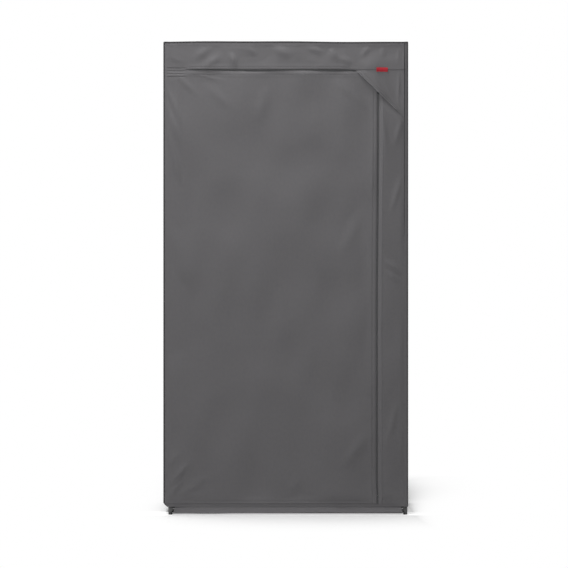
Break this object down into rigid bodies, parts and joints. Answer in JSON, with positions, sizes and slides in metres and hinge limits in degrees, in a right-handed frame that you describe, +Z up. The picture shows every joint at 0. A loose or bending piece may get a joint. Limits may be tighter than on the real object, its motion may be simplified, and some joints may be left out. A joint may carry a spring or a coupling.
{
  "type": "fabric wardrobe",
  "caption": "Free-standing fabric wardrobe: a plug-together tube frame inside a dark grey cloth cover, with a zipped cloth door and a hanging rail.",
  "frame": {"origin": "on the floor, below the middle of the wardrobe's box", "axes": "+Z up, -Y out of the front, where the door is, and +X to the right of someone who faces it"},
  "size_m": [0.88, 0.46, 1.7],
  "materials": {
    "cloth": "matt dark grey non-woven cloth, finely speckled and a little crumpled",
    "binding": "matt dark grey binding round a sewn edge",
    "tag_cloth": "plain red woven tag",
    "tube": "light grey coated thin-walled steel tube",
    "moulded_plastic": "satin black injection moulding",
    "zip": "black nylon coil on woven tape",
    "slider_metal": "dark grey painted die-cast metal"
  },
  "bodies": {
    "root": {"foot_connector_front_left": "moulded_plastic", "top_connector_front_left": "moulded_plastic", "post_joiner_front_left": "moulded_plastic", "lower_post_front_left": "tube", "upper_post_front_left": "tube", "foot_connector_front_right": "moulded_plastic", "top_connector_front_right": "moulded_plastic", "post_joiner_front_right": "moulded_plastic", "lower_post_front_right": "tube", "upper_post_front_right": "tube", "foot_connector_back_left": "moulded_plastic", "top_connector_back_left": "moulded_plastic", "post_joiner_back_left": "moulded_plastic", "lower_post_back_left": "tube", "upper_post_back_left": "tube", "foot_connector_back_right": "moulded_plastic", "top_connector_back_right": "moulded_plastic", "post_joiner_back_right": "moulded_plastic", "lower_post_back_right": "tube", "upper_post_back_right": "tube", "bottom_rail_left": "tube", "middle_rail_left": "tube", "top_rail_left": "tube", "rail_bracket_left": "moulded_plastic", "bottom_rail_right": "tube", "middle_rail_right": "tube", "top_rail_right": "tube", "rail_bracket_right": "moulded_plastic", "bottom_rail_front": "tube", "top_rail_front": "tube", "bottom_rail_back": "tube", "top_rail_back": "tube", "hanging_rail": "tube", "cover_front_left": "cloth", "cover_front_right": "cloth", "cover_top_band": "cloth", "cover_left": "cloth", "cover_right": "cloth", "cover_back": "cloth", "cover_top": "cloth", "cover_base": "cloth", "front_lip": "cloth", "corner_flap": "cloth", "seam_front_left": "binding", "seam_back_left": "binding", "seam_back_right": "binding", "seam_front_right": "binding", "seam_top": "binding", "seam_tag": "tag_cloth", "top_zip_cover_half": "zip", "side_zip_cover_half": "zip"},
    "door": {"door_panel": "cloth", "door_hem": "cloth", "top_zip_door_half": "zip", "side_zip_door_half": "zip"},
    "top_slider": {"top_slider": "slider_metal"},
    "top_pull": {"top_pull": "slider_metal"},
    "side_slider": {"side_slider": "slider_metal"},
    "side_pull": {"side_pull": "slider_metal"}
  },
  "joints": [
    {"name": "door_swing", "type": "hinge", "parent": "root", "child": "door", "pos_m": [-0.365, -0.2224, 0], "axis": [0, 0, -1], "range_deg": [0, 160], "deforming": ["corner_flap", "seam_tag"]},
    {"name": "top_slider_slide", "type": "slide", "parent": "door", "child": "top_slider", "axis": [-1, 0, 0], "range_m": [0, 0.622]},
    {"name": "top_pull_turn", "type": "hinge", "parent": "top_slider", "child": "top_pull", "pos_m": [0.299, -0.2258, 1.595], "axis": [0, 0, -1], "range_deg": [0, 175]},
    {"name": "side_slider_slide", "type": "slide", "parent": "door", "child": "side_slider", "axis": [0, 0, -1], "range_m": [0, 1.473]},
    {"name": "side_pull_turn", "type": "hinge", "parent": "side_slider", "child": "side_pull", "pos_m": [0.3295, -0.2258, 1.533], "axis": [-1, 0, 0], "range_deg": [0, 175]}
  ]
}
